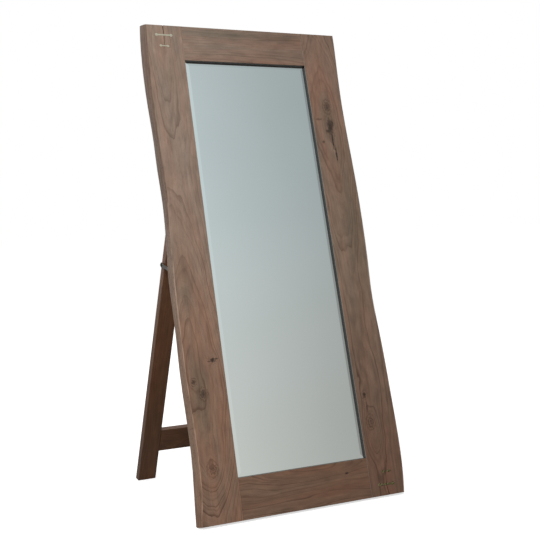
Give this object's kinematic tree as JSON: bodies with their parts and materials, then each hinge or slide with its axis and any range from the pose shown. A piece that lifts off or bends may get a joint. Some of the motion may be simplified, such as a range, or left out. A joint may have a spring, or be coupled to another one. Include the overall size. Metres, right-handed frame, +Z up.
{
  "type": "full-length floor mirror",
  "caption": "Full-length floor mirror: a thick timber frame with live edges and brass crack stitches round bevelled glass, leaning on a hinged folding stand held open by hooked stays.",
  "frame": {"origin": "middle of the narrow level flat under the frame's bottom back edge, on the floor", "axes": "+X to the right as seen from the front, -Y towards the viewer, +Z up; the frame leans back towards +Y"},
  "size_m": [0.8994, 0.6495, 1.7328],
  "materials": {
    "frame_timber": "open-grained walnut, oiled matt",
    "stand_timber": "dark stained timber, matt",
    "mirror": "silvered glass with a wide bevel",
    "backing": "smooth brown hardboard",
    "brass": "aged brass, satin",
    "steel": "zinc-plated steel, satin",
    "rubber": "black rubber"
  },
  "bodies": {
    "frame": {"left_stile": "frame_timber", "right_stile": "frame_timber", "top_rail": "frame_timber", "bottom_rail": "frame_timber", "mirror_glass": "mirror", "setting_blocks": "rubber", "backing_board": "backing", "backing_screws": "steel", "top_long_stitch": "brass", "top_short_stitch": "brass", "bottom_short_stitch": "brass", "bottom_long_stitch": "brass", "left_frame_leaf": "steel", "left_frame_leaf_screws": "steel", "left_hinge_pin": "steel", "left_stay_bracket": "steel", "left_stay_bracket_screws": "steel", "left_stay_pivot": "steel", "right_frame_leaf": "steel", "right_frame_leaf_screws": "steel", "right_hinge_pin": "steel", "right_stay_bracket": "steel", "right_stay_bracket_screws": "steel", "right_stay_pivot": "steel"},
    "stand": {"stand_crossbar": "stand_timber", "left_leg": "stand_timber", "left_stand_leaf": "steel", "left_stand_leaf_screws": "steel", "left_stay_post": "steel", "right_leg": "stand_timber", "right_stand_leaf": "steel", "right_stand_leaf_screws": "steel", "right_stay_post": "steel"},
    "left_stay": {"left_stay_arm": "steel"},
    "right_stay": {"right_stay_arm": "steel"}
  },
  "joints": [
    {"name": "stand_fold", "type": "hinge", "parent": "frame", "child": "stand", "pos_m": [0, 0.35246, 1.1456], "axis": [-1, 0, 0], "range_deg": [0, 27.5]},
    {"name": "left_stay_swing", "type": "hinge", "parent": "frame", "child": "left_stay", "pos_m": [-0.36729, 0.26328, 0.8226], "axis": [1, 0, 0], "range_deg": [0, 65.42]},
    {"name": "right_stay_swing", "type": "hinge", "parent": "frame", "child": "right_stay", "pos_m": [0.36729, 0.26328, 0.8226], "axis": [1, 0, 0], "range_deg": [0, 65.42]}
  ],
  "couplings": [
    {"joint": "left_stay_swing", "follows": "stand_fold", "ratio": 2.3785},
    {"joint": "right_stay_swing", "follows": "stand_fold", "ratio": 2.3785}
  ]
}
